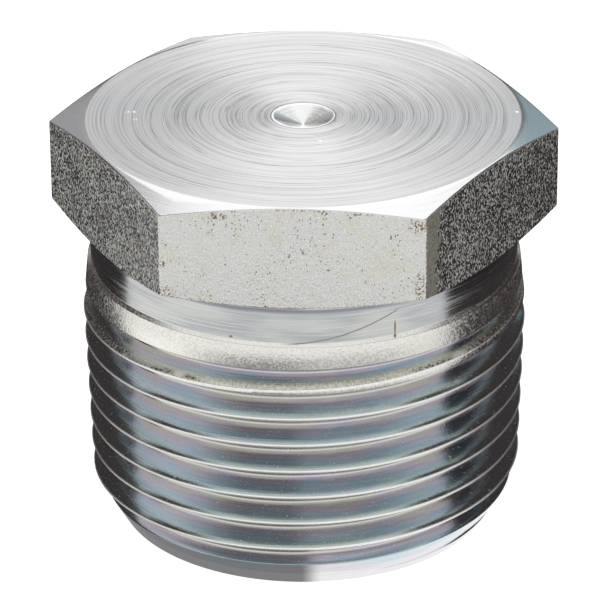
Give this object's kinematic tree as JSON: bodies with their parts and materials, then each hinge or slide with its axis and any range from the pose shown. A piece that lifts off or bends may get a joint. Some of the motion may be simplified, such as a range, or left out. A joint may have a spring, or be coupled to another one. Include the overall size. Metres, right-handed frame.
{
  "type": "hex head pipe plug",
  "caption": "Solid steel pipe plug with a hexagon head, a short turned neck and a tapered male pipe thread, for closing a threaded port.",
  "frame": {"origin": "centre of the end face below the thread, on the plug's axis, on the surface that it stands on", "axes": "+Z along the axis towards the head; the head has a flat facing -Y and a corner on each side along X"},
  "size_m": [0.0382, 0.0336, 0.0319],
  "materials": {
    "plated_steel": "bright zinc plate over turned steel, with rough scaly flats on the hexagon"
  },
  "bodies": {
    "root": {"pipe_plug": "plated_steel"}
  },
  "joints": []
}
